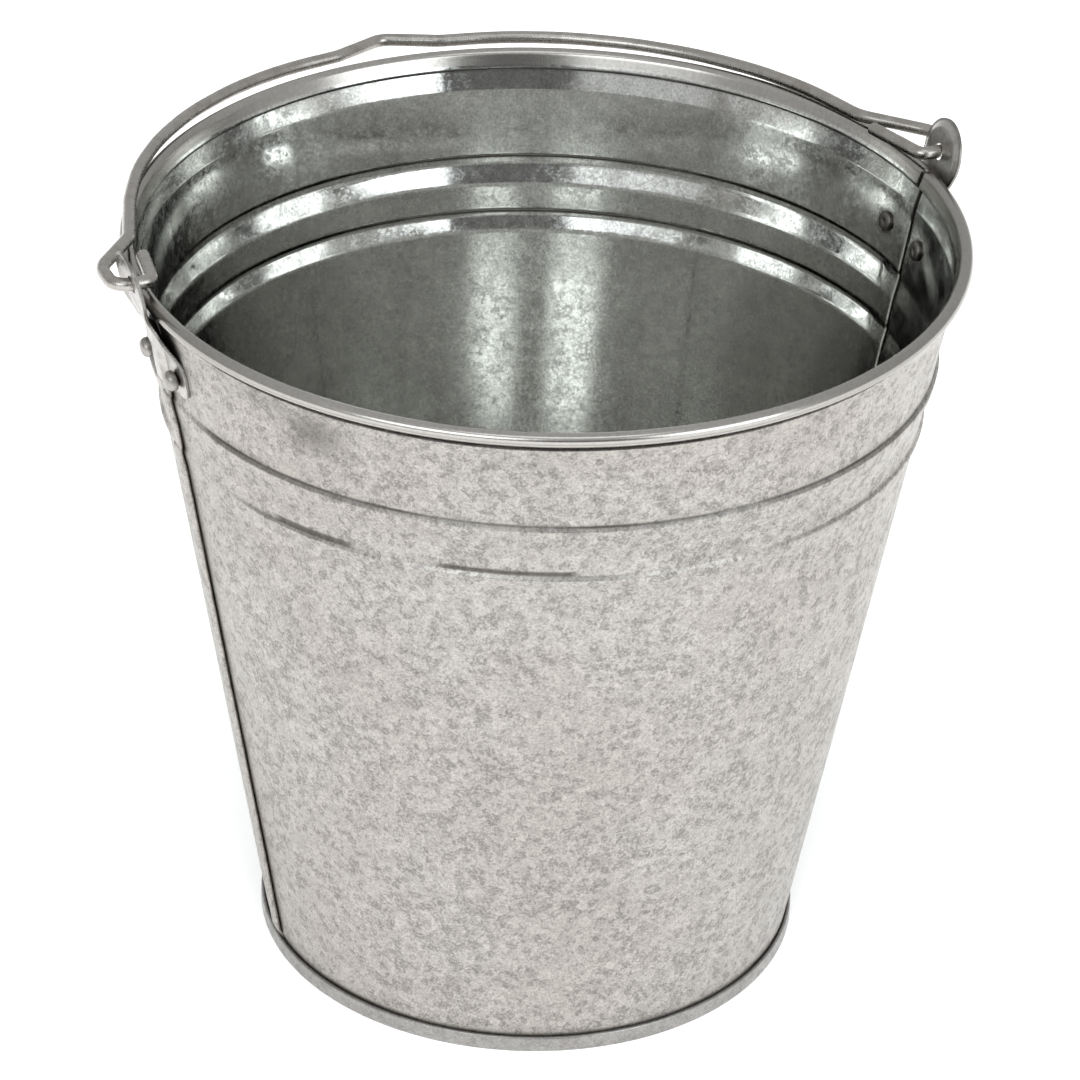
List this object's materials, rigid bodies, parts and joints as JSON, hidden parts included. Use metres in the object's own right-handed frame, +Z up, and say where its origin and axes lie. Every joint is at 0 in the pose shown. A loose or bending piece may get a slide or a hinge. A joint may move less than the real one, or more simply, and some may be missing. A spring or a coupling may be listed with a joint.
{
  "type": "feed bucket",
  "caption": "Tapered galvanised sheet-steel feed bucket with a curled rim, beaded wall, raised foot ring and a swinging wire bail hooked through two riveted ears.",
  "frame": {"origin": "centre of the circle that the foot ring stands on", "axes": "+Z up through the mouth; +X through the right ear, along the bail's hinge line; the bail lies back towards +Y"},
  "size_m": [0.3242, 0.3141, 0.3011],
  "materials": {
    "zinc_sheet": "hot-dip galvanised sheet with a fine spangle, satin",
    "zinc_base": "galvanised sheet, satin",
    "core_wire": "plain steel wire, hidden in the rim",
    "pressed_lug": "pressed galvanised lug",
    "rivet_steel": "dull zinc-coated rivet",
    "bail_wire": "drawn galvanised wire"
  },
  "bodies": {
    "bucket": {"front_shell": "zinc_sheet", "back_shell": "zinc_sheet", "rim_wire": "core_wire", "base_plate": "zinc_base", "right_ear": "pressed_lug", "left_ear": "pressed_lug", "right_front_rivet": "rivet_steel", "right_back_rivet": "rivet_steel", "left_front_rivet": "rivet_steel", "left_back_rivet": "rivet_steel"},
    "bail": {"bail": "bail_wire"}
  },
  "joints": [
    {"name": "bail_swing", "type": "hinge", "parent": "bucket", "child": "bail", "pos_m": [0, 0, 0.2888], "axis": [1, 0, 0], "range_deg": [0, 182.8]}
  ]
}
